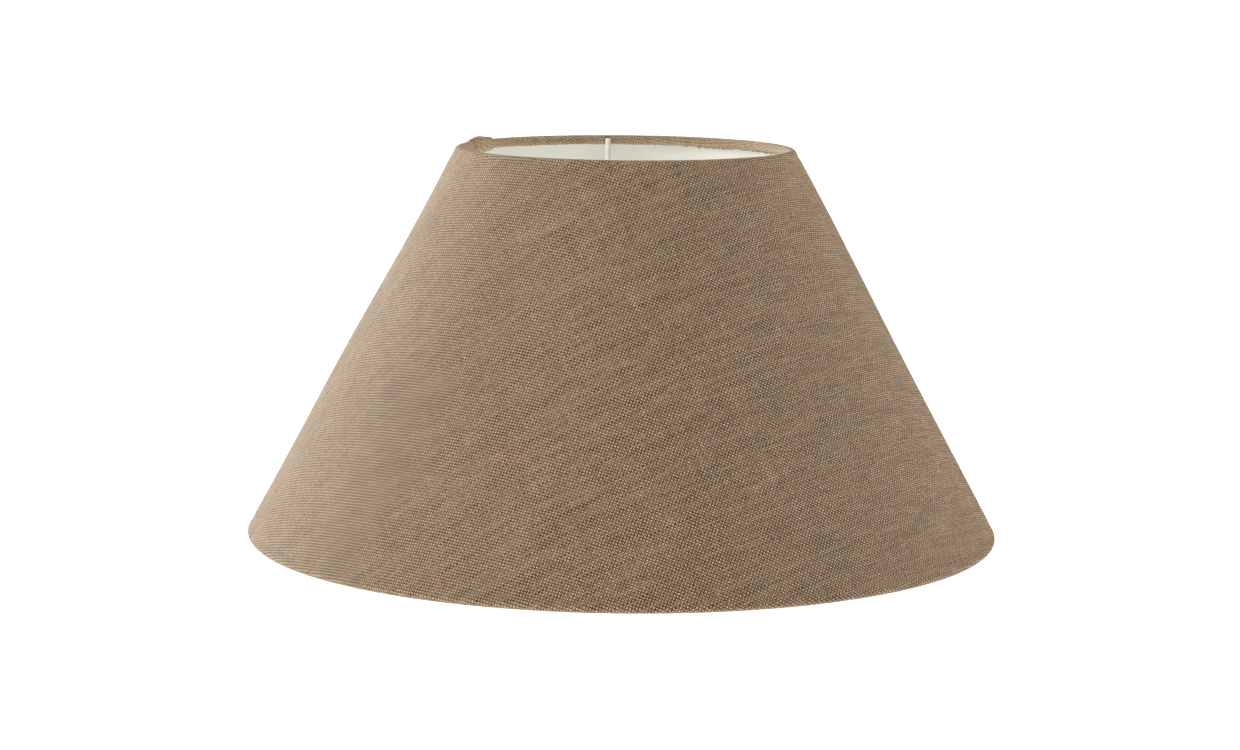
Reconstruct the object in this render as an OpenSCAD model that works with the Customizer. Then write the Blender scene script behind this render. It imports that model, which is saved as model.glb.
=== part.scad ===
// Tapered fabric lamp shade on two wire rings, with a recessed three-arm fitter for a screw lampholder.
// Millimetres, +Z up. The origin is the centre of the circle that the bottom rim rests on.

/* [Shade] */
// Diameter over the cover at the bottom rim
bottom_diameter = 400; // [320:5:480]
// Diameter over the cover at the top rim
top_diameter = 181; // [150:1:220]
// Height from the bottom rim to the top of the rolled top rim
shade_height = 207; // [160:1:260]

/* [Fabric and liner] */
// Thickness of the coarse linen cover
fabric = 0.8; // [0.6:0.1:1]
// Thickness of the white plastic liner that the linen is laminated to
liner_thickness = 0.4; // [0.3:0.05:0.6]
// Thickness of the double-sided tape
tape = 0.2; // [0.1:0.05:0.3]
// Width of the lap where the two ends of the cover meet
lap_width = 20; // [8:1:24]
// How far the raw edge of the linen runs on along the liner, past the rolled rim
hem_flap = 1.2; // [1:0.1:5]
// Where the lap seam stands, counter-clockwise from +X
seam_angle = 155; // [135:1:180]

/* [Wire frame] */
// Diameter of the wire of both rings
ring_wire = 3; // [2.5:0.1:4]
// Diameter of the wire of the arms
arm_wire = 3; // [2.5:0.1:3.5]
// Radius of the bend in each arm, at the middle of the wire
arm_bend = 8; // [5:0.5:12]
// Where the first arm stands, counter-clockwise from +X
arm_angle = 97; // [70:1:115]

/* [Fitter] */
// Bore of the fitter ring, which takes the threaded sleeve of an E27 lampholder
fitter_bore = 42; // [40:0.5:44]
// Outside diameter of the fitter ring
fitter_outer = 56; // [52:1:62]
// Thickness of the fitter ring
fitter_thickness = 2; // [1.6:0.1:3]
// Depth of the middle of the fitter ring below the top rim
fitter_drop = 30; // [20:1:50]

/* [Hidden] */

// Colours of the linen, the plastic liner, the painted wire and the clear tape.
linen = [0.60, 0.51, 0.41];
white_plastic = [0.90, 0.90, 0.86];
white_paint = [0.92, 0.92, 0.90];
clear_tape = [0.93, 0.91, 0.82];

wire_r = ring_wire / 2;
arm_r = arm_wire / 2;
// Distances outwards from the cone that runs through the middle of both ring wires.
cover_inside = wire_r + tape;
cover_outside = cover_inside + fabric;
liner_inside = cover_inside - liner_thickness;
flap_inside = cover_outside + tape;
flap_outside = flap_inside + fabric;

// Middle of the bottom and the top ring wire.
bottom_r = bottom_diameter / 2 - cover_outside;
bottom_z = cover_outside;
top_r = top_diameter / 2 - cover_outside;
top_z = shade_height - cover_outside;
slope = atan2(bottom_r - top_r, top_z - bottom_z);
slant = norm([bottom_r - top_r, top_z - bottom_z]);

// The liner stops where it would touch the tape round a ring.
fit_gap = 0.05;
liner_margin = sqrt(cover_inside * cover_inside - liner_inside * liner_inside) + fit_gap;

// The cover's hidden inner end stands under the lap, beside the step where the outer end rises over it.
step_width = 1;
end_gap = 0.3;
seam_reach = bottom_diameter;

// The arms' legs stand inside the top ring and are pressed a little way into it by the weld.
weld_bite = 0.4;
leg_r = top_r - wire_r - arm_r + weld_bite;
leg_top = top_z + 1;
fitter_z = shade_height - fitter_drop;
notch_gap = 0.4;
notch_depth = 4 * cover_outside + hem_flap;
weld_bead_r = arm_r + 0.6;
arm_count = 3;
fitter_chamfer = 0.2;

big_fn = 180;
wire_fn = 48;

// Sections are drawn with x outwards from the ring cone and y up its slope, from the bottom ring's middle.
module on_cone() {
    translate([bottom_r, bottom_z]) rotate(slope) children();
}

// Places a section drawn for the bottom rim at the top rim, the other way up.
module at_top() {
    translate([0, slant]) mirror([0, 1]) children();
}

// Everything past the liner's inside face on the wall's side of a rim.
module wall_side(reach) {
    translate([liner_inside, 0]) square([reach, reach]);
}

// Linen rolled round a ring wire and its tape, and its raw edge lying on the liner.
module rolled_rim() {
    difference() {
        circle(r = cover_outside, $fn = wire_fn);
        circle(r = cover_inside, $fn = wire_fn);
        wall_side(2 * cover_outside);
    }
    translate([liner_inside - fabric, cover_inside])
        square([fabric, cover_outside - cover_inside + hem_flap]);
}

// The second layer of linen that the lap puts round the top rim, as far as its inner side.
module lap_lump() {
    difference() {
        circle(r = flap_outside, $fn = wire_fn);
        circle(r = cover_inside, $fn = wire_fn);
        wall_side(2 * flap_outside);
        translate([-flap_outside, flap_inside / 2]) square([2 * flap_outside, flap_outside]);
    }
}

module round_the_axis() {
    rotate_extrude($fn = big_fn) on_cone() children();
}

// A strip across the seam, over the whole height, between two sideways distances from the seam's middle.
// They count clockwise, seen from above.
module seam_strip(from, to) {
    rotate(seam_angle)
        translate([0, -to, -flap_outside])
            cube([seam_reach, to - from, shade_height + 4 * flap_outside]);
}

// The narrow gap between the two ends of a sheet that is bent into a cone.
module end_slit() {
    seam_strip(step_width - lap_width / 2, step_width - lap_width / 2 + end_gap);
}

module each_arm() {
    for (i = [0 : arm_count - 1])
        rotate(arm_angle + i * 360 / arm_count) children();
}

// Room for an arm's leg where it comes out through the hem.
module leg_notch() {
    translate([leg_r, 0, leg_top - notch_depth]) rotate(180)
        cylinder(r = arm_r + notch_gap, h = notch_depth + notch_gap, $fn = wire_fn);
}

// A ring of round section, with its middle at the given radius and height.
module ring(middle_r, middle_z, section_r) {
    translate([0, 0, middle_z])
        rotate_extrude($fn = big_fn)
            translate([middle_r, 0]) circle(r = section_r, $fn = wire_fn);
}

module cover() {
    color(linen) difference() {
        union() {
            difference() {
                round_the_axis() {
                    translate([cover_inside, 0]) square([fabric, slant]);
                    rolled_rim();
                    at_top() rolled_rim();
                }
                end_slit();
            }
            // The outer end of the cover, standing off by the tape's thickness.
            intersection() {
                round_the_axis() translate([flap_inside, 0]) square([fabric, slant]);
                seam_strip(-lap_width / 2, lap_width / 2);
            }
            // The step that joins the outer end to the rest of the cover.
            intersection() {
                round_the_axis() translate([cover_outside - fabric / 2, 0]) square([fabric, slant]);
                seam_strip(-lap_width / 2, step_width - lap_width / 2);
            }
            intersection() {
                round_the_axis() at_top() lap_lump();
                seam_strip(-lap_width / 2, lap_width / 2);
            }
        }
        each_arm() leg_notch();
    }
}

module liner() {
    color(white_plastic) difference() {
        round_the_axis()
            translate([liner_inside, liner_margin])
                square([liner_thickness, slant - 2 * liner_margin]);
        end_slit();
    }
}

module seam_tape() {
    color(clear_tape) intersection() {
        round_the_axis() translate([cover_outside, 0]) square([tape, slant - cover_outside]);
        seam_strip(step_width - lap_width / 2 + end_gap, lap_width / 2);
    }
}

module top_ring() {
    color(white_paint) ring(top_r, top_z, wire_r);
}

module bottom_ring() {
    color(white_paint) ring(bottom_r, bottom_z, wire_r);
}

module top_ring_tape() {
    color(clear_tape) difference() {
        ring(top_r, top_z, cover_inside);
        ring(top_r, top_z, wire_r);
        each_arm() leg_notch();
    }
}

module bottom_ring_tape() {
    color(clear_tape) difference() {
        ring(bottom_r, bottom_z, cover_inside);
        ring(bottom_r, bottom_z, wire_r);
    }
}

// One bent arm along +X: a leg inside the top ring, a bend, and a level stretch to the fitter ring.
module arm(number) {
    color(white_paint) rotate(arm_angle + number * 360 / arm_count) difference() {
        union() {
            translate([leg_r, 0, fitter_z + arm_bend])
                cylinder(r = arm_r, h = leg_top - fitter_z - arm_bend, $fn = wire_fn);
            translate([leg_r - arm_bend, 0, fitter_z + arm_bend])
                rotate([90, 0, 0])
                    rotate_extrude(angle = -90, $fn = big_fn)
                        translate([arm_bend, 0]) circle(r = arm_r, $fn = wire_fn);
            translate([fitter_bore / 2, 0, fitter_z]) rotate([0, 90, 0])
                cylinder(r = arm_r, h = leg_r - arm_bend - fitter_bore / 2, $fn = wire_fn);
            translate([fitter_outer / 2 + arm_r / 3, 0, fitter_z]) sphere(r = weld_bead_r, $fn = wire_fn);
        }
        ring(top_r, top_z, wire_r);
        translate([0, 0, fitter_z - 2 * arm_wire])
            cylinder(r = fitter_outer / 2, h = 4 * arm_wire, $fn = big_fn);
    }
}

module fitter_ring() {
    half = fitter_thickness / 2;
    inner = fitter_bore / 2;
    outer = fitter_outer / 2;
    c = fitter_chamfer;
    color(white_paint) translate([0, 0, fitter_z]) rotate_extrude($fn = big_fn) polygon([
        [inner, c - half], [inner + c, -half], [outer - c, -half], [outer, c - half],
        [outer, half - c], [outer - c, half], [inner + c, half], [inner, half - c],
    ]);
}

cover();
liner();
seam_tape();
top_ring();
top_ring_tape();
bottom_ring();
bottom_ring_tape();
arm(0);  // back_arm
arm(1);  // left_arm
arm(2);  // right_arm
fitter_ring();
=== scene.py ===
import math
import random

import bpy
import numpy as np
from mathutils import Matrix, Vector


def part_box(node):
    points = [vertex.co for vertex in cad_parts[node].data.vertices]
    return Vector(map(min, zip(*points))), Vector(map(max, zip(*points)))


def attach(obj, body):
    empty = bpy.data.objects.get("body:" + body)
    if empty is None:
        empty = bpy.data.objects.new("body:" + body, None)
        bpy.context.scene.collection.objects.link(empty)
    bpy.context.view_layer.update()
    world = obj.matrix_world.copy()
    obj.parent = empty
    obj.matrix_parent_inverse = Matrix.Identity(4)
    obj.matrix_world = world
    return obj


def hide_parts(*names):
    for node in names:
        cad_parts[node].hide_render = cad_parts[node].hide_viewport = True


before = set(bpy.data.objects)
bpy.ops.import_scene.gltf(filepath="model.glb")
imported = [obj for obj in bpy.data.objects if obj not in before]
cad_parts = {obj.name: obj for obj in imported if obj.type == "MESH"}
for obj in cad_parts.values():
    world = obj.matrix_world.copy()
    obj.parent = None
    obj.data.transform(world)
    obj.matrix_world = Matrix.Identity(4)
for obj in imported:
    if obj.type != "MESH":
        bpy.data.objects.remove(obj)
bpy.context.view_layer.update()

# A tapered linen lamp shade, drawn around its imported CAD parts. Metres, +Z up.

MM = 0.001


# ---------------------------------------------------------------- sizes, read from the frame

def ring_of(node):
    """Middle radius, middle height and wire radius of a level ring."""
    low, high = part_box(node)
    wire = (high[2] - low[2]) / 2
    return (high[0] - low[0]) / 2 - wire, (high[2] + low[2]) / 2, wire


def vertices_of(node):
    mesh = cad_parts[node].data
    flat = np.empty(len(mesh.vertices) * 3)
    mesh.vertices.foreach_get("co", flat)
    return flat.reshape(-1, 3)


def azimuth_of(points):
    middle = points.mean(axis=0)
    return math.atan2(middle[1], middle[0])


BOTTOM_R, BOTTOM_Z, WIRE_R = ring_of("bottom_ring")
TOP_R, TOP_Z, _ = ring_of("top_ring")
ALPHA = math.atan2(BOTTOM_R - TOP_R, TOP_Z - BOTTOM_Z)
SLANT = math.hypot(BOTTOM_R - TOP_R, TOP_Z - BOTTOM_Z)
SIN_A, COS_A = math.sin(ALPHA), math.cos(ALPHA)

FABRIC = 0.8 * MM
LINER = 0.4 * MM
TAPE = 0.2 * MM
WALL_X = WIRE_R + TAPE + FABRIC / 2      # middle of the cloth, outwards from the cone through both wires
LINER_OUT_X = WIRE_R + TAPE
LINER_IN_X = LINER_OUT_X - LINER
FLAP_X = LINER_IN_X - FABRIC / 2
LAP_RISE = FABRIC + TAPE

ARMS = ("back_arm", "left_arm", "right_arm")
LEG_FOOT_Z = TOP_Z - 12 * MM
LEGS = [vertices_of(arm) for arm in ARMS]
LEGS = [leg[leg[:, 2] > LEG_FOOT_Z] for leg in LEGS]
LEG_AZIMUTHS = [azimuth_of(leg) for leg in LEGS]
LEG_TOP_Z = max(leg[:, 2].max() for leg in LEGS)
SEAM = math.radians(155)                 # azimuth of the lap's middle, as the frame's words give it

FRONT = -math.pi / 2                     # azimuth of the side that the camera looks at
PITCH = 1.06 * MM                        # one thread to the next
THREAD_TILT = math.radians(27)           # of one thread direction above level, on the flat cut at the front
FLAP_END = 3.7 * MM                      # how far the linen's raw edge lies past the middle of a wire, up the wall
LAP_HALF = 10 * MM                       # half the width of the lap seam


def round_from_seam(share, beside, radius):
    """Azimuth at a share of the full turn and a distance beside the seam, clockwise from above."""
    return SEAM - 2 * math.pi * share - beside / radius


def place(x, y, azimuth):
    """A point x outwards from the cone through both wires, y up its slope, at an azimuth."""
    radius = BOTTOM_R + x * COS_A - y * SIN_A
    height = BOTTOM_Z + x * SIN_A + y * COS_A
    return np.stack([radius * np.cos(azimuth), radius * np.sin(azimuth), height], axis=-1)


def smooth(low, high, value):
    t = np.clip((value - low) / (high - low), 0, 1)
    return t * t * (3 - 2 * t)


def turn(angle):
    """An angle brought into -pi..pi."""
    return (angle + math.pi) % (2 * math.pi) - math.pi


# ---------------------------------------------------------------- camera, floor and light

def make_camera():
    lens = bpy.data.cameras.new("camera")
    lens.sensor_width = 36
    lens.lens = 88.85
    camera = bpy.data.objects.new("camera", lens)
    bpy.context.collection.objects.link(camera)
    down, sideways, roll = math.radians(8.57), 0.0092, 0.0108
    camera.matrix_world = (
        Matrix.Translation((0.0133, -1.6194, 0.3290))
        @ Matrix.Rotation(sideways, 4, "Z")
        @ Matrix.Rotation(math.pi / 2 - down, 4, "X")
        @ Matrix.Rotation(roll, 4, "Z")
    )
    bpy.context.scene.camera = camera


def make_area(name, place_at, size, power, tint=(1, 1, 1)):
    light = bpy.data.lights.new(name, "AREA")
    light.size = size
    light.energy = power
    light.color = tint
    lamp = bpy.data.objects.new(name, light)
    bpy.context.collection.objects.link(lamp)
    lamp.location = place_at
    aim = Vector((0, 0, 0.1)) - Vector(place_at)
    lamp.rotation_euler = aim.to_track_quat("-Z", "Y").to_euler()


def make_stage():
    mesh = bpy.data.meshes.new("floor")
    far = 40.0
    mesh.from_pydata([(-far, -far, 0), (far, -far, 0), (far, far, 0), (-far, far, 0)], [], [(0, 1, 2, 3)])
    floor = bpy.data.objects.new("floor", mesh)
    bpy.context.collection.objects.link(floor)
    floor.location.z = -0.2 * MM
    pale = bpy.data.materials.new("floor_white")
    pale.use_nodes = True
    shader = pale.node_tree.nodes["Principled BSDF"]
    shader.inputs["Base Color"].default_value = (0.86, 0.86, 0.86, 1)
    shader.inputs["Roughness"].default_value = 0.9
    shader.inputs["Specular IOR Level"].default_value = 0.1
    shader.inputs["Emission Color"].default_value = (1, 1, 1, 1)
    shader.inputs["Emission Strength"].default_value = 0.93
    mesh.materials.append(pale)

    world = bpy.data.worlds.new("studio")
    bpy.context.scene.world = world
    world.use_nodes = True
    sky = world.node_tree.nodes["Background"]
    sky.inputs["Color"].default_value = (1, 1, 1, 1)
    # Seen directly the sky is as white as the floor, but it lights the shade with only a seventh of that.
    ray = world.node_tree.nodes.new("ShaderNodeLightPath")
    strength = world.node_tree.nodes.new("ShaderNodeMapRange")
    strength.inputs["To Min"].default_value = 0.15
    strength.inputs["To Max"].default_value = 1.02
    world.node_tree.links.new(ray.outputs["Is Camera Ray"], strength.inputs["Value"])
    world.node_tree.links.new(strength.outputs[0], sky.inputs["Strength"])

    make_area("key", (-1.9, -0.9, 1.2), 0.6, 34, (1.0, 0.97, 0.93))
    make_area("left_rim", (-1.6, 1.5, 0.7), 0.8, 62, (0.90, 0.97, 1.0))
    make_area("right_fill", (2.0, 1.1, 0.9), 1.0, 44, (1.0, 0.86, 0.67))
    make_area("overhead", (0, 0.1, 2.4), 1.2, 20)
    bpy.context.scene.view_settings.view_transform = "Standard"


# ---------------------------------------------------------------- node helpers

class Graph:
    """Short names for building one material's nodes."""

    def __init__(self, name):
        self.material = bpy.data.materials.new(name)
        self.material.use_nodes = True
        self.tree = self.material.node_tree
        self.shader = self.tree.nodes["Principled BSDF"]

    def add(self, kind, inputs=(), **settings):
        node = self.tree.nodes.new(kind)
        for key, value in settings.items():
            setattr(node, key, value)
        for key, value in dict(inputs).items():
            self.feed(node.inputs[key], value)
        return node

    def feed(self, socket, value):
        if isinstance(value, bpy.types.NodeSocket):
            self.tree.links.new(value, socket)
        else:
            socket.default_value = value

    def math(self, operation, *values, clamp=False):
        node = self.add("ShaderNodeMath", operation=operation, use_clamp=clamp)
        for socket, value in zip(node.inputs, values):
            self.feed(socket, value)
        return node.outputs[0]

    def ramp(self, value, low, high, to_low=0.0, to_high=1.0):
        node = self.add("ShaderNodeMapRange", {"Value": value, "From Min": low, "From Max": high,
                                               "To Min": to_low, "To Max": to_high})
        node.interpolation_type = "SMOOTHSTEP"
        return node.outputs[0]

    def vector(self, x, y, z=0.0):
        return self.add("ShaderNodeCombineXYZ", {"X": x, "Y": y, "Z": z}).outputs[0]

    def noise(self, vector, scale=1.0, detail=2.0, roughness=0.5):
        node = self.add("ShaderNodeTexNoise", {"Vector": vector, "Scale": scale, "Detail": detail,
                                               "Roughness": roughness})
        return node.outputs["Fac"]

    def mix(self, factor, first, second, blend="MIX"):
        node = self.add("ShaderNodeMix", data_type="RGBA", blend_type=blend)
        self.feed(node.inputs["Factor"], factor)
        self.feed(node.inputs[6], first)
        self.feed(node.inputs[7], second)
        return node.outputs[2]

    def bump(self, height, distance, strength=1.0, normal=None):
        node = self.add("ShaderNodeBump", {"Height": height, "Distance": distance, "Strength": strength})
        if normal is not None:
            self.feed(node.inputs["Normal"], normal)
        return node.outputs[0]

    def set(self, **values):
        for key, value in values.items():
            self.feed(self.shader.inputs[key.replace("_", " ")], value)
        return self.material


def rgb(red, green, blue):
    """A colour given as it looks on a screen, 0..255, as linear values."""
    def linear(value):
        value /= 255
        return value / 12.92 if value <= 0.04045 else ((value + 0.055) / 1.055) ** 2.4
    return (linear(red), linear(green), linear(blue), 1)


# ---------------------------------------------------------------- materials

def make_linen():
    """Plain weave of brown threads one way and cream ones the other, laid out on the flat cut."""
    g = Graph("linen")
    uv = g.add("ShaderNodeUVMap", uv_map="flat_cut").outputs[0]
    turned = g.add("ShaderNodeVectorRotate", {"Vector": uv, "Angle": -THREAD_TILT}, rotation_type="Z_AXIS")
    scaled = g.add("ShaderNodeVectorMath", {"Vector": turned.outputs[0], "Scale": 1 / PITCH},
                   operation="SCALE").outputs[0]
    split = g.add("ShaderNodeSeparateXYZ", {"Vector": scaled})

    def noise_at(along, across, along_scale, across_scale, seed, detail=1.0):
        where = g.vector(g.math("MULTIPLY", along, along_scale), g.math("MULTIPLY", across, across_scale), seed)
        return g.noise(where, detail=detail)

    def shifted(value, drift, crowd):
        """Threads wander slowly, and lie a little closer or wider from one to the next."""
        value = g.math("MULTIPLY_ADD", g.math("SUBTRACT", drift, 0.5), 0.9, value)
        return g.math("MULTIPLY_ADD", g.math("SUBTRACT", crowd, 0.5), 0.5, value)

    flat_along, flat_across = split.outputs[0], split.outputs[1]
    across = shifted(flat_across, noise_at(flat_along, flat_across, 0.02, 0.03, 3.1),
                     noise_at(flat_along, flat_across, 0.01, 0.35, 1.7))
    along = shifted(flat_along, noise_at(flat_along, flat_across, 0.03, 0.02, 9.7),
                    noise_at(flat_along, flat_across, 0.35, 0.01, 5.3))
    row, column = g.math("FLOOR", across), g.math("FLOOR", along)
    in_row = g.math("SUBTRACT", g.math("FRACT", across), 0.5)
    in_column = g.math("SUBTRACT", g.math("FRACT", along), 0.5)

    # Each thread's own thickness, which swells into slubs along it.
    slub_a = noise_at(along, row, 0.045, 7.31, 0.0, detail=2)
    slub_b = noise_at(column, across, 7.31, 0.045, 4.0, detail=2)

    # No two crossings are alike: each has its own height and its own tone.
    crossing = g.add("ShaderNodeTexWhiteNoise", {"Vector": g.vector(row, column)}, noise_dimensions="2D")
    own_tone = crossing.outputs["Value"]
    own_height = g.add("ShaderNodeSeparateColor", {"Color": crossing.outputs["Color"]}).outputs[1]
    brown_swing = g.math("MULTIPLY_ADD", own_height, 0.14, 0.16)
    cream_swing = g.math("MULTIPLY_ADD", own_height, -0.2, -0.36)

    def thread(offset, half, run, parity, swing):
        """Height of one thread over the cloth's middle: a round section that goes over and under."""
        section = g.math("DIVIDE", offset, half)
        section = g.math("SUBTRACT", 1.0, g.math("MULTIPLY", section, section))
        section = g.math("SQRT", g.math("MAXIMUM", section, 0.0))
        phase = g.math("MULTIPLY", g.math("ADD", g.math("SUBTRACT", run, 0.5), parity), math.pi)
        return g.math("MULTIPLY_ADD", g.math("COSINE", phase), swing, g.math("MULTIPLY", section, 0.55)), section

    # The brown threads run nearly straight, with gaps between them. The cream ones bend over and under them.
    height_a, round_a = thread(in_row, g.ramp(slub_a, 0.3, 0.75, 0.37, 0.47), along, row, brown_swing)
    height_b, round_b = thread(in_column, g.ramp(slub_b, 0.3, 0.75, 0.42, 0.52), across, column, cream_swing)
    # Some brown threads are drawn tighter than others over a long way, and lie deeper in the cloth.
    sunk = g.ramp(noise_at(along, row, 0.045, 5.71, 15.0, detail=1), 0.25, 0.75, -0.2, 0.2)
    height_a = g.math("ADD", height_a, sunk)
    top = g.math("MAXIMUM", height_a, height_b)
    b_shows = g.ramp(g.math("SUBTRACT", height_b, height_a), -0.06, 0.06)

    # Fine fibres along each thread.
    fibre_a = noise_at(along, across, 0.9, 9.0, 2.0, detail=2)
    fibre_b = noise_at(along, across, 9.0, 0.9, 6.0, detail=2)

    # Brown threads differ from one to the next, and the cream ones less.
    brown = g.mix(noise_at(along, row, 0.02, 3.17, 8.0, detail=2), rgb(164, 128, 95), rgb(214, 176, 136))
    cream = g.mix(noise_at(column, across, 5.83, 0.03, 12.0, detail=2), rgb(222, 187, 147), rgb(255, 231, 194))
    brown = g.mix(g.ramp(fibre_a, 0.35, 0.7, 0.0, 0.4), brown, rgb(92, 70, 50))
    cream = g.mix(g.ramp(fibre_b, 0.4, 0.75, 0.0, 0.35), cream, rgb(134, 110, 84))
    colour = g.mix(b_shows, brown, cream)

    # Faint pinkish and olive stretches that follow the brown threads, and a few dark flecks of bark.
    warm = noise_at(flat_along, flat_across, 0.05, 0.16, 20.0, detail=3)
    colour = g.mix(g.ramp(warm, 0.3, 0.7, 0.0, 0.28), colour,
                   g.mix(1.0, colour, (1.0, 0.78, 0.66, 1), "MULTIPLY"))
    olive = noise_at(flat_along, flat_across, 0.04, 0.12, 26.0, detail=2)
    colour = g.mix(g.ramp(olive, 0.45, 0.7, 0.0, 0.3), colour,
                   g.mix(1.0, colour, (0.80, 0.86, 0.74, 1), "MULTIPLY"))
    fleck = noise_at(flat_along, flat_across, 0.35, 1.1, 30.0)
    colour = g.mix(g.ramp(fleck, 0.78, 0.84, 0.0, 0.5), colour, rgb(74, 55, 38))

    # Painted shade in the gaps between the threads, and painted light on their crowns.
    crown = g.ramp(top, 0.3, 0.9)
    light = g.math("MULTIPLY", crown, g.math("MULTIPLY_ADD", own_tone, 0.4, 0.7))
    colour = g.mix(light, g.mix(1.0, colour, (0.09, 0.06, 0.035, 1), "MULTIPLY"), colour)
    # Painted light: round the wires, on both rolls, the cloth is lightened towards a pale cream, standing in for
    # the brighter light on the hems.
    hem_painted_light = g.add("ShaderNodeAttribute", attribute_name="hem_painted_light").outputs["Fac"]
    colour = g.mix(g.math("MULTIPLY", hem_painted_light, 0.3), colour, rgb(244, 216, 178))
    fibres = g.math("MULTIPLY", g.math("ADD", g.math("MULTIPLY", fibre_a, round_a),
                                       g.math("MULTIPLY", fibre_b, round_b)), 0.25)
    normal = g.bump(g.math("ADD", top, fibres), 1.0 * MM)
    return g.set(Base_Color=colour, Normal=normal, Roughness=g.ramp(crown, 0, 1, 0.95, 0.75),
                 Specular_IOR_Level=0.25, Sheen_Weight=0.45, Sheen_Roughness=0.25,
                 Sheen_Tint=(1.0, 0.97, 0.94, 1))


def make_thread():
    """Cut ends of the cloth's own threads: cream and brown, with fibres along them."""
    g = Graph("loose_thread")
    tone = g.add("ShaderNodeAttribute", attribute_name="thread_tone").outputs["Fac"]
    where = g.add("ShaderNodeTexCoord").outputs["Object"]
    fluff = g.noise(where, scale=2500, detail=2)
    colour = g.mix(tone, rgb(150, 127, 98), rgb(222, 208, 184))
    colour = g.mix(g.ramp(fluff, 0.4, 0.7, 0.0, 0.45), colour, rgb(120, 98, 72))
    return g.set(Base_Color=colour, Normal=g.bump(fluff, 0.08 * MM), Roughness=g.ramp(fluff, 0.3, 0.7, 0.8, 0.95),
                 Specular_IOR_Level=0.25, Sheen_Weight=0.3, Sheen_Roughness=0.4)


def make_liner_plastic():
    """Smooth white styrene film with a faint print of the cloth, faint clouds of dust and small scuffs."""
    g = Graph("white_liner")
    uv = g.add("ShaderNodeUVMap", uv_map="flat_cut").outputs[0]
    cloud = g.noise(uv, scale=14, detail=3)
    print_through = g.noise(uv, scale=620, detail=1)
    scuff = g.noise(g.add("ShaderNodeMapping", {"Vector": uv, "Scale": (30, 260, 1)}).outputs[0], detail=3)
    colour = g.mix(g.ramp(cloud, 0.35, 0.7), rgb(224, 224, 217), rgb(214, 214, 206))
    colour = g.mix(g.ramp(scuff, 0.66, 0.8, 0.0, 0.25), colour, rgb(196, 193, 182))
    height = g.math("ADD", g.math("MULTIPLY", print_through, 0.12), cloud)
    rough = g.math("ADD", g.ramp(cloud, 0.3, 0.7, 0.42, 0.55), g.ramp(scuff, 0.6, 0.8, 0.0, 0.15))
    return g.set(Base_Color=colour, Normal=g.bump(height, 0.25 * MM), Roughness=rough, Specular_IOR_Level=0.4)


def make_paint():
    """White powder coat on wire: orange peel, a little dirt, and thin places worn grey."""
    g = Graph("white_paint")
    where = g.add("ShaderNodeTexCoord").outputs["Object"]
    peel = g.noise(where, scale=900, detail=2)
    dirt = g.noise(where, scale=60, detail=4, roughness=0.6)
    chip = g.noise(where, scale=240, detail=3, roughness=0.7)
    colour = g.mix(g.ramp(dirt, 0.45, 0.75, 0.0, 0.6), rgb(234, 234, 229), rgb(212, 209, 198))
    colour = g.mix(g.ramp(chip, 0.71, 0.74, 0.0, 0.8), colour, rgb(138, 136, 130))
    rough = g.math("ADD", g.ramp(dirt, 0.3, 0.7, 0.28, 0.42), g.ramp(chip, 0.7, 0.75, 0.0, 0.2))
    height = g.math("SUBTRACT", peel, g.ramp(chip, 0.71, 0.74, 0.0, 1.2))
    return g.set(Base_Color=colour, Normal=g.bump(height, 0.06 * MM), Roughness=rough, Coat_Weight=0.15,
                 Coat_Roughness=0.2)


def make_tape():
    """Clear double-sided tape with specks of lint in its glue."""
    g = Graph("clear_tape")
    where = g.add("ShaderNodeTexCoord").outputs["Object"]
    lint = g.noise(where, scale=1400, detail=2)
    haze = g.noise(where, scale=120, detail=3)
    colour = g.mix(g.ramp(haze, 0.35, 0.7), rgb(232, 227, 206), rgb(214, 206, 180))
    colour = g.mix(g.ramp(lint, 0.66, 0.74, 0.0, 0.7), colour, rgb(150, 130, 102))
    return g.set(Base_Color=colour, Normal=g.bump(lint, 0.05 * MM), Roughness=g.ramp(haze, 0.3, 0.7, 0.25, 0.5))


# ---------------------------------------------------------------- the cloth

SURE = np.random.default_rng(41)
WAVES = [(SURE.integers(2, 12), SURE.integers(1, 4), SURE.uniform(0, 2 * math.pi), SURE.uniform(0.03, 0.11))
         for _ in range(14)]


def ripple(azimuth, y):
    """How far the wall stands off a true cone: slow waves that fade out at both rings."""
    depth = 0 * azimuth
    for around, up, phase, size in WAVES:
        depth = depth + size * np.sin(around * azimuth + phase) * np.sin(up * math.pi * y / SLANT)
    return depth * MM


def hem_section():
    """Middle line of the bottom hem in its section: raw edge, flap on the liner, round the wire to the wall."""
    flap = [(FLAP_X, FLAP_END - back * MM) for back in (0, 0.3, 0.6, 0.85, 1.05)]
    roll_from, roll_to, roll_points = 70, 352, 18
    turns = np.radians(np.linspace(roll_from, roll_to, roll_points))
    return flap + [(WALL_X * math.cos(t), WALL_X * math.sin(t)) for t in turns]


def wall_section():
    """Wall from ring to ring. The cloth is drawn tight over each wire, so it dips a little beside it."""
    near = [v * MM for v in (0.5, 1.6, 2.6, 3.6, 5.2, 8, 14)]
    margin, middle_steps = 24 * MM, 11
    steps = near + list(np.linspace(margin, SLANT - margin, middle_steps)) + [SLANT - v for v in reversed(near)]
    dip_depth, dip_at, dip_half = 0.32 * MM, 3.2 * MM, 1.5 * MM
    rows = []
    for y in steps:
        end = min(y, SLANT - y)
        dip = dip_depth * math.exp(-((end - dip_at) / dip_half) ** 2)
        rows.append((WALL_X - dip, y))
    return rows


def cover_section():
    hem = hem_section()
    rows = hem + wall_section() + [(x, SLANT - y) for x, y in reversed(hem)]
    return np.array(rows), len(hem)


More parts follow.
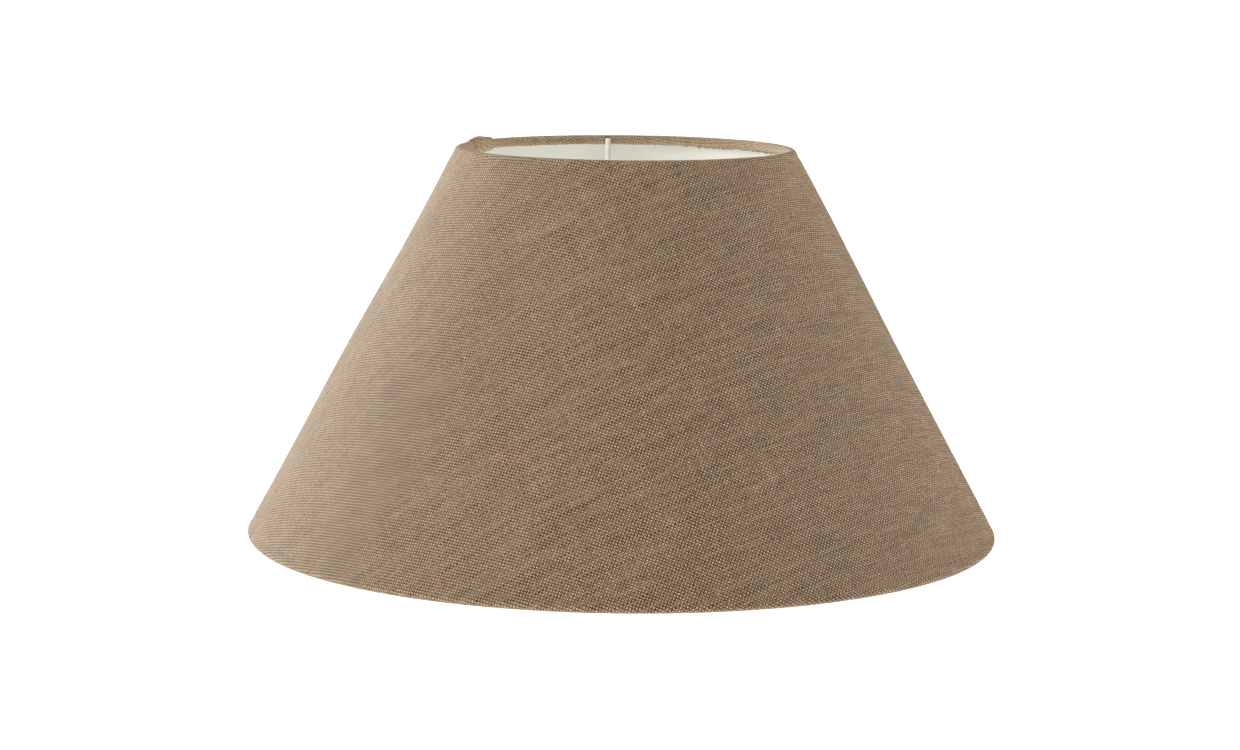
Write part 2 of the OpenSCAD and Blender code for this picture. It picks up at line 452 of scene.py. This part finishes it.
def flat_cut(run, azimuth):
    """Where a point of the cloth lies on the flat cut. run is measured along the cloth from the bottom wire."""
    reach = BOTTOM_R / SIN_A + WALL_X / math.tan(ALPHA) - run
    angle = (azimuth - FRONT) * SIN_A
    return np.stack([reach * np.sin(angle), -reach * np.cos(angle)], axis=-1)


HIDDEN_END = 0.7 * MM - LAP_HALF          # where the cloth's hidden end stands, under the lap
OUTER_END = LAP_HALF + 0.3 * MM           # where the outer end's raw edge stands, just past the tape
STEP_FROM, STEP_TO = -0.4 * MM, 1.1 * MM  # the outer end rises over the hidden one, from the lap's near side
LUMP = 1.3 * MM                           # how far the doubled cloth bunches up on the top rim
PUCKER = 0.35 * MM                        # how far the cloth stands up beside an arm
NOTCH = 1.95 * MM                         # half the width of the slit for an arm
LEG_COLUMNS = (-3.6, -2.9, -2.3, -1.95, -1, 0, 1, 1.95, 2.3, 2.9, 3.6)
TURN_COLUMNS = 641


def cover_columns():
    """Columns of the cloth from its hidden end, once round, to its outer end.
    Each is a share of the full turn and a distance beside the seam."""
    spread = LAP_HALF + 3 * MM
    start = [(0, d) for d in np.arange(HIDDEN_END, spread - 0.8 * MM, 1.5 * MM)]
    step = [(1, d) for d in np.arange(-LAP_HALF - 2 * MM, 1.6 * MM - LAP_HALF, 0.4 * MM)]
    end = step + [(1, d) for d in np.linspace(2.4 * MM - LAP_HALF, OUTER_END, 18)]
    shares = list(np.linspace(0, 1, TURN_COLUMNS)[1:-1])
    full_turn = 2 * math.pi * (TOP_R - WIRE_R)
    for leg in LEG_AZIMUTHS:
        # Where spread * (1 - 2 * share) is added, the leg's share of the turn moves a little.
        middle = (((SEAM - leg) % (2 * math.pi)) / (2 * math.pi) * full_turn - spread) / (full_turn - 2 * spread)
        extra = [middle + d * MM / full_turn for d in LEG_COLUMNS]
        gap = 0.3 * MM / full_turn
        shares = [s for s in shares if not extra[0] - gap < s < extra[-1] + gap] + extra
    return start + [(s, spread * (1 - 2 * s)) for s in sorted(shares)] + end


def make_object(name, points, faces, material, uvs=None):
    mesh = bpy.data.meshes.new(name)
    mesh.from_pydata([tuple(p) for p in points], [], faces)
    if uvs is not None:
        layer = mesh.uv_layers.new(name="flat_cut")
        corners = np.empty(len(mesh.loops), dtype=np.int32)
        mesh.loops.foreach_get("vertex_index", corners)
        layer.data.foreach_set("uv", np.asarray(uvs)[corners].astype(np.float32).ravel())
    mesh.materials.append(material)
    mesh.shade_smooth()
    mesh.validate()
    piece = bpy.data.objects.new(name, mesh)
    bpy.context.collection.objects.link(piece)
    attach(piece, "root")
    return piece


def sheet_faces(rows, columns, holes=()):
    """Quads of a thick sheet whose front grid comes first and whose back grid follows, closed along every edge."""
    count = rows * columns

    def cut(r, c):
        return not (0 <= r < rows - 1 and 0 <= c < columns - 1) or any(
            r0 <= r < r1 and c0 <= c < c1 for r0, r1, c0, c1 in holes)

    faces = []
    for r in range(rows - 1):
        for c in range(columns - 1):
            if cut(r, c):
                continue
            a, b = r * columns + c, r * columns + c + 1
            d, e = a + columns, b + columns
            faces.append((a, b, e, d))
            faces.append((count + a, count + d, count + e, count + b))
            beside = ((cut(r - 1, c), a, b), (cut(r, c + 1), b, e), (cut(r + 1, c), e, d), (cut(r, c - 1), d, a))
            for gone, u, v in beside:
                if gone:
                    faces.append((v, u, count + u, count + v))
    return faces


def make_cover(linen):
    section, hem_rows = cover_section()
    columns = cover_columns()
    rows = len(section)
    step = np.gradient(section, axis=0)
    step /= np.linalg.norm(step, axis=1, keepdims=True)
    out = np.stack([step[:, 1], -step[:, 0]], axis=1)
    run = np.concatenate([[0], np.cumsum(np.linalg.norm(np.diff(section, axis=0), axis=1))])
    run -= run[hem_rows]

    share = np.array([c[0] for c in columns])[None, :]
    beside = np.array([c[1] for c in columns])[None, :]
    x, y = section[:, 0][:, None], section[:, 1][:, None]
    radius = BOTTOM_R + x * COS_A - y * SIN_A
    azimuth = round_from_seam(share, beside, radius)
    at_end = share >= 1

    # The outer end rises over the hidden one. Under the bottom rim it is pulled in tight, so the rim stands level.
    rise = LAP_RISE * smooth(STEP_FROM, STEP_TO, beside + LAP_HALF) * at_end
    index = np.arange(rows)[:, None]
    low_roll = 1 - 0.9 * smooth(hem_rows - 1, hem_rows - 7, index)
    rise = rise * low_roll
    # At the top the doubled cloth bunches into a lump.
    top_roll = smooth(rows - hem_rows - 3, rows - hem_rows + 5, index) * (1 - smooth(rows - 7, rows - 4, index))
    lump = smooth(-LAP_HALF, -0.2 * LAP_HALF, beside) * (1 - 0.7 * smooth(0, 0.9 * LAP_HALF, beside))
    rise = rise + LUMP * top_roll * at_end * lump

    # The raw edge inside each rim is uneven, most of all on the right of the back.
    top_flap = smooth(rows - 5.5, rows - 1, index)
    low_flap = smooth(4.5, 0, index)
    y = y - overhang(azimuth, TOP_CLUMPS) * top_flap + overhang(azimuth, LOW_CLUMPS) * low_flap

    # Each slit edge beside an arm is pushed up a little.
    pucker = 0 * azimuth
    for leg in LEG_AZIMUTHS:
        away = np.abs(turn(azimuth - leg)) * TOP_R
        pucker = pucker + PUCKER * np.exp(-((away - NOTCH) / (0.9 * MM)) ** 2)
    inner_roll = smooth(rows - hem_rows + 4, rows - hem_rows + 9, index) * (1 - smooth(rows - 8, rows - 5, index))
    rise = rise + pucker * inner_roll

    wobble = ripple(azimuth, y) + roll_noise(azimuth, index)
    out_x, out_y = out[:, :1], out[:, 1:]
    points = []
    for side in (-0.5, 0.5):
        off = side * FABRIC + rise
        px = x + out_x * off + wobble
        py = y + out_y * off
        points.append(place(px, py, azimuth).reshape(-1, 3))
    points = np.concatenate(points)
    uv = flat_cut(run[:, None] + 0 * azimuth, azimuth).reshape(-1, 2)

    # The roll is cut away where each arm's leg comes out of it.
    height = BOTTOM_Z + section[:, 0] * SIN_A + section[:, 1] * COS_A
    roll = [r for r in range(rows - hem_rows, rows - 5) if height[r] < LEG_TOP_Z + 0.5 * MM
            and section[r, 0] < 0.2 * MM]
    holes = []
    turns = round_from_seam(share, beside, TOP_R - WIRE_R)[0]
    for leg in LEG_AZIMUTHS:
        inside = np.where(np.abs(turn(turns - leg)) * (TOP_R - WIRE_R) < NOTCH * 1.02)[0]
        holes.append((roll[0], roll[-1], inside[0], inside[-1]))
    faces = sheet_faces(rows, len(columns), holes)
    piece = make_object("linen_cover", points, faces, linen, np.concatenate([uv, uv]))
    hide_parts("cover")
    # Mask of the painted light on the hems: 1 on the rolls round both wires, 0 on the wall.
    hem_light_mask = 1 - smooth(hem_rows - 8, hem_rows - 3, index) * smooth(rows - hem_rows + 7, rows - hem_rows + 2, index)
    hem_painted_light = piece.data.attributes.new("hem_painted_light", "FLOAT", "POINT")
    hem_painted_light.data.foreach_set("value", np.tile((hem_light_mask + 0 * azimuth).ravel(), 2))

    # On the flat cut the cloth is a part of a ring, from the bottom raw edge to the top one.
    outer, inner = -flat_cut(run[0], FRONT)[1], -flat_cut(run[-1], FRONT)[1]
    return piece


UNEVEN = [(SURE.uniform(0, 2 * math.pi), SURE.uniform(0.4, 1.0), k) for k in (7, 13, 23, 41, 67)]
ROUGH_MIDDLE, ROUGH_SPREAD = math.radians(42), math.radians(27)


def roughness_at(azimuth):
    """How ragged the top hem is cut there, 0..1: most of all on the right of the back."""
    return math.exp(-(turn(azimuth - ROUGH_MIDDLE) / ROUGH_SPREAD) ** 4)


def clumps(count, rough):
    """Tufts of the raw edge that hang lower than the rest: azimuth, half width and length of each."""
    found = []
    for azimuth in SURE.uniform(-math.pi, math.pi, count):
        ragged = roughness_at(azimuth) if rough else 0
        if SURE.uniform() < 0.25 + 0.75 * ragged:
            found.append((azimuth, SURE.uniform(0.8, 1.3 + 0.9 * ragged) * MM,
                          SURE.uniform(0.15 + 0.2 * ragged, 0.45 + 1.7 * ragged) * MM))
    return found


TOP_CLUMPS = clumps(260, True)
LOW_CLUMPS = clumps(420, False)


def overhang(azimuth, tufts):
    """How much further than its mean the hem's raw edge reaches over the liner."""
    slow = 0 * azimuth
    for phase, size, around in UNEVEN:
        slow = slow + 0.06 * MM * size * np.sin(around * azimuth + phase)
    reach = 0 * azimuth
    for middle, half, length in tufts:
        away = np.abs(turn(azimuth - middle)) * TOP_R / half
        reach = np.maximum(reach, length * np.clip(1 - away, 0, 1) ** 0.7)
    return slow + reach - 0.25 * MM


def roll_noise(azimuth, index):
    """Small unevenness of the cloth where it is turned over the wires."""
    depth = 0 * azimuth
    for k, (phase, size, around) in enumerate(UNEVEN):
        depth = depth + size * np.sin(around * 1.7 * azimuth + phase + 0.35 * index * (k % 3))
    return 0.035 * MM * depth


def make_liner(plastic):
    """The film that the cloth is bonded to, bent into a cone with its ends butted under the lap."""
    near = [v * MM for v in (0, 0.6, 1.6, 4)]
    reach = math.sqrt(LINER_OUT_X ** 2 - LINER_IN_X ** 2) + 0.05 * MM
    low, high = reach, SLANT - reach
    margin, middle_steps, columns = 14 * MM, 16, 421
    steps = [low + v for v in near] + list(np.linspace(low + margin, high - margin, middle_steps)) \
        + [high - v for v in reversed(near)]
    y = np.array(steps)[:, None]
    share = np.linspace(0, 1, columns)[None, :]
    gap = 0.12 * MM                      # half the open butt joint between the film's two ends
    middle_x = (LINER_IN_X + LINER_OUT_X) / 2
    radius = BOTTOM_R + middle_x * COS_A - y * SIN_A
    beside = HIDDEN_END + gap * (1 - 2 * share)
    azimuth = round_from_seam(share, beside, radius)
    # Near the butt joint the film springs back a little.
    first_end = np.exp(-(share * 400 / 2.2) ** 2)
    last_end = np.exp(-((1 - share) * 400 / 1.6) ** 2)
    lift = 0.12 * MM * (first_end - 0.5 * last_end)
    wobble = ripple(azimuth, y) - np.abs(lift) * np.sin(math.pi * y / SLANT)
    points = [place(middle_x + side * LINER + wobble, y + 0 * azimuth, azimuth).reshape(-1, 3)
              for side in (-0.5, 0.5)]
    uv = flat_cut(y + 0 * azimuth, azimuth).reshape(-1, 2)
    faces = sheet_faces(len(steps), share.size)
    piece = make_object("white_liner", np.concatenate(points), faces, plastic, np.concatenate([uv, uv]))
    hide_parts("liner")
    return piece


# ---------------------------------------------------------------- loose threads

def tube(points, radius, sides=5):
    """A thin tapering tube through the points, with pointed ends. Gives its points and faces."""
    points = [Vector(p) for p in points]
    ring_points, faces = [], []
    for k, p in enumerate(points):
        ahead = points[min(k + 1, len(points) - 1)] - points[max(k - 1, 0)]
        side = ahead.cross(Vector((0.31, 0.17, 0.93))).normalized()
        up = ahead.cross(side).normalized()
        taper = 1 - 0.45 * (k / (len(points) - 1)) ** 2
        for s in range(sides):
            t = 2 * math.pi * s / sides
            ring_points.append(p + (side * math.cos(t) + up * math.sin(t)) * radius * taper)
    for k in range(len(points) - 1):
        for s in range(sides):
            a, b = k * sides + s, k * sides + (s + 1) % sides
            faces.append((a, b, b + sides, a + sides))
    faces.append(tuple(range(sides))[::-1])
    last = (len(points) - 1) * sides
    faces.append(tuple(last + s for s in range(sides)))
    return ring_points, faces


class Threads:
    """Gathers many loose thread ends into one piece."""

    def __init__(self):
        self.points, self.faces, self.tones = [], [], []

    def add(self, path, radius, tone):
        points, faces = tube(path, radius)
        base = len(self.points)
        self.points += points
        self.faces += [tuple(base + v for v in face) for face in faces]
        self.tones += [tone] * len(points)

    def make(self, name, material):
        piece = make_object(name, self.points, self.faces, material)
        values = piece.data.attributes.new("thread_tone", "FLOAT", "POINT")
        values.data.foreach_set("value", self.tones)
        return piece


def hem_threads(material, name, count, top, dice):
    """Cut thread ends that stick out of the raw edge inside a rim and lie on the liner."""
    threads = Threads()
    for _ in range(count):
        azimuth = dice.uniform(-math.pi, math.pi)
        rough = roughness_at(azimuth) if top else 0.3
        if dice.random() > 0.35 + 0.65 * rough:
            continue
        length = dice.uniform(0.6, 1.4 + 1.2 * rough) * MM
        lean = dice.uniform(-0.7, 0.7)
        curl = dice.uniform(-0.2, 0.9) ** 3 * MM
        start = FLAP_END - 0.7 * MM
        radius_here = TOP_R if top else BOTTOM_R
        path = []
        for k in range(5):
            t = k / 4
            y = start + length * t * math.cos(lean)
            x = LINER_IN_X - 0.22 * MM - abs(curl) * t * t
            across = length * math.sin(lean) * t + 0.15 * MM * math.sin(3 * t + length * 900)
            path.append(place(x, SLANT - y if top else y, azimuth + across / radius_here))
        threads.add(path, dice.uniform(0.1, 0.2) * MM, dice.random())
    return threads.make(name, material)


def seam_threads(material, dice):
    """Thread ends along the lap's raw edge, and the cream tuft where it is turned over the top rim."""
    threads = Threads()
    for _ in range(150):
        y = dice.uniform(2 * MM, SLANT - 2 * MM)
        x = WALL_X + LAP_RISE + dice.uniform(-0.25, 0.25) * MM
        radius_here = BOTTOM_R - y * SIN_A
        length = dice.uniform(0.3, 1.1) * MM
        lean = dice.choice([0.4, -1.1]) + dice.uniform(-0.3, 0.3)
        path = []
        for k in range(4):
            t = k / 3
            across = OUTER_END - 0.2 * MM + length * math.cos(lean) * t
            path.append(place(x - 0.3 * MM * t * t, y + length * math.sin(lean) * t, SEAM - across / radius_here))
        threads.add(path, dice.uniform(0.1, 0.2) * MM, dice.random())
    # The lap's corner on the top roll: short ends of cream thread that curl over the cut edge and down.
    for _ in range(22):
        angle = math.radians(dice.uniform(20, 190))
        reach = WALL_X + LAP_RISE + dice.uniform(0.1, 0.7) * MM
        length = dice.uniform(0.8, 1.9) * MM
        path = []
        for j in range(6):
            t = j / 5
            here = angle + 0.3 * t * t
            lift = reach + 0.3 * MM * math.sin(math.pi * t) - 1.0 * MM * t * t
            across = OUTER_END - 0.8 * MM + length * math.sin(1.9 * t)
            path.append(place(lift * math.cos(here), SLANT + lift * math.sin(here), SEAM - across / TOP_R))
        threads.add(path, dice.uniform(0.16, 0.26) * MM, dice.uniform(0.65, 1.0))
    return threads.make("seam_threads", material)


# ---------------------------------------------------------------- put together

def paint_nodes(material, names):
    for name in names:
        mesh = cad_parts[name].data
        mesh.materials.clear()
        mesh.materials.append(material)


make_camera()
make_stage()
linen = make_linen()
thread = make_thread()
make_cover(linen)
make_liner(make_liner_plastic())
hem_threads(thread, "top_hem_threads", 420, True, random.Random(5))
hem_threads(thread, "bottom_hem_threads", 420, False, random.Random(6))
seam_threads(thread, random.Random(7))
paint_nodes(make_paint(), ("top_ring", "bottom_ring", "fitter_ring") + ARMS)
paint_nodes(make_tape(), ("seam_tape", "top_ring_tape", "bottom_ring_tape"))
